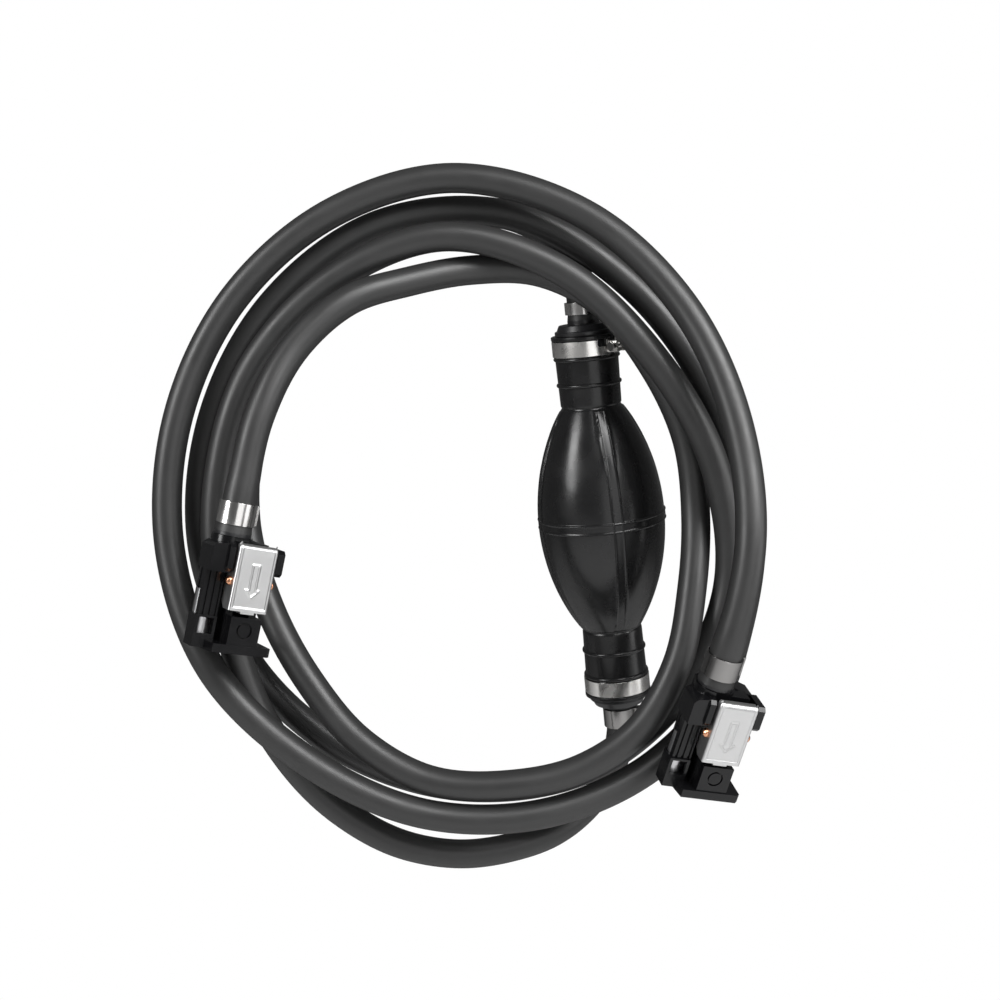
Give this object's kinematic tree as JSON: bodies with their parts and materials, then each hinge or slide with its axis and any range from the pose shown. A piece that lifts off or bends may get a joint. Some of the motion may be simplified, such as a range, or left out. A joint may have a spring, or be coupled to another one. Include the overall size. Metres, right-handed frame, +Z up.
{
  "type": "siphon bulb pump",
  "caption": "Primer-bulb fuel line: squeeze bulb with one-way valves, a short and a long rubber hose, and a latched quick connector on each free end, hung in a loose coil.",
  "frame": {"origin": "inside the bundle of strands at the top of the coil, where it is held", "axes": "+Z up, +X to the right and -Y towards the viewer, with the coil hanging in the XZ plane"},
  "size_m": [0.258, 0.119, 0.3],
  "materials": {
    "bulb_rubber": "semi-gloss moulded rubber",
    "hose_rubber": "matte extruded rubber",
    "stainless": "brushed band",
    "pressed_steel": "satin pressed sheet",
    "copper": "copper-coloured, polished end",
    "spring_steel": "drawn wire",
    "sleeve_steel": "turned tube",
    "seal_rubber": "moulded",
    "brass": "turned",
    "pale_plastic": "moulded",
    "grey_plastic": "moulded",
    "connector_plastic": "semi-gloss glass-filled nylon",
    "black_plastic": "semi-gloss moulding"
  },
  "bodies": {
    "line": {"bulb_shell": "bulb_rubber", "inlet_valve_body": "black_plastic", "outlet_valve_body": "black_plastic", "inlet_ball_spring": "spring_steel", "outlet_ball_spring": "spring_steel", "inlet_cage": "grey_plastic", "outlet_seat": "grey_plastic", "inlet_neck_band": "stainless", "outlet_neck_band": "stainless", "neck_band_screws": "stainless", "neck_band_nuts": "stainless", "tank_hose": "hose_rubber", "engine_hose": "hose_rubber", "inlet_hose_clip": "stainless", "outlet_hose_clip": "stainless", "tank_hose_clip": "stainless", "engine_hose_clip": "stainless", "tank_connector_body": "connector_plastic", "tank_hose_tail": "black_plastic", "tank_latch_pin": "copper", "tank_latch_spring": "spring_steel", "tank_socket_seal": "seal_rubber", "tank_valve_seat": "brass", "tank_poppet_spring": "spring_steel", "tank_guide_sleeve": "sleeve_steel", "engine_connector_body": "connector_plastic", "engine_hose_tail": "black_plastic", "engine_latch_pin": "copper", "engine_latch_spring": "spring_steel", "engine_socket_seal": "seal_rubber", "engine_valve_seat": "brass", "engine_poppet_spring": "spring_steel", "engine_guide_sleeve": "sleeve_steel"},
    "tank_latch_lever": {"tank_latch": "pressed_steel"},
    "tank_poppet": {"tank_poppet": "pale_plastic"},
    "engine_latch_lever": {"engine_latch": "pressed_steel"},
    "engine_poppet": {"engine_poppet": "pale_plastic"},
    "inlet_check_ball": {"inlet_ball": "pale_plastic"},
    "outlet_check_ball": {"outlet_ball": "pale_plastic"}
  },
  "joints": [
    {"name": "tank_latch_swing", "type": "hinge", "parent": "line", "child": "tank_latch_lever", "pos_m": [-0.07873, -0.03088, -0.15109], "axis": [-0.8134, -0.5592, 0.1605], "range_deg": [0, 10], "stiffness_Nm_per_rad": 0.12, "springref_deg": -20.05, "deforming": ["tank_latch_spring"]},
    {"name": "tank_poppet_lift", "type": "slide", "parent": "line", "child": "tank_poppet", "axis": [0.1994, -0.0087, 0.9799], "range_m": [0, 0.0025], "stiffness_N_per_m": 400, "springref_m": -0.002, "deforming": ["tank_poppet_spring"]},
    {"name": "engine_latch_swing", "type": "hinge", "parent": "line", "child": "engine_latch_lever", "pos_m": [0.11095, -0.03175, -0.21155], "axis": [-0.9467, -0.2764, 0.1655], "range_deg": [0, 10], "stiffness_Nm_per_rad": 0.12, "springref_deg": -20.05, "deforming": ["engine_latch_spring"]},
    {"name": "engine_poppet_lift", "type": "slide", "parent": "line", "child": "engine_poppet", "axis": [0.2543, -0.3256, 0.9107], "range_m": [0, 0.0025], "stiffness_N_per_m": 400, "springref_m": -0.002, "deforming": ["engine_poppet_spring"]},
    {"name": "inlet_ball_lift", "type": "slide", "parent": "line", "child": "inlet_check_ball", "axis": [0.1045, 0.1822, -0.9777], "range_m": [0, 0.003], "stiffness_N_per_m": 60, "springref_m": -0.002, "deforming": ["inlet_ball_spring"]},
    {"name": "outlet_ball_lift", "type": "slide", "parent": "line", "child": "outlet_check_ball", "axis": [0.1045, 0.1822, -0.9777], "range_m": [0, 0.003], "stiffness_N_per_m": 60, "springref_m": -0.002, "deforming": ["outlet_ball_spring"]}
  ]
}
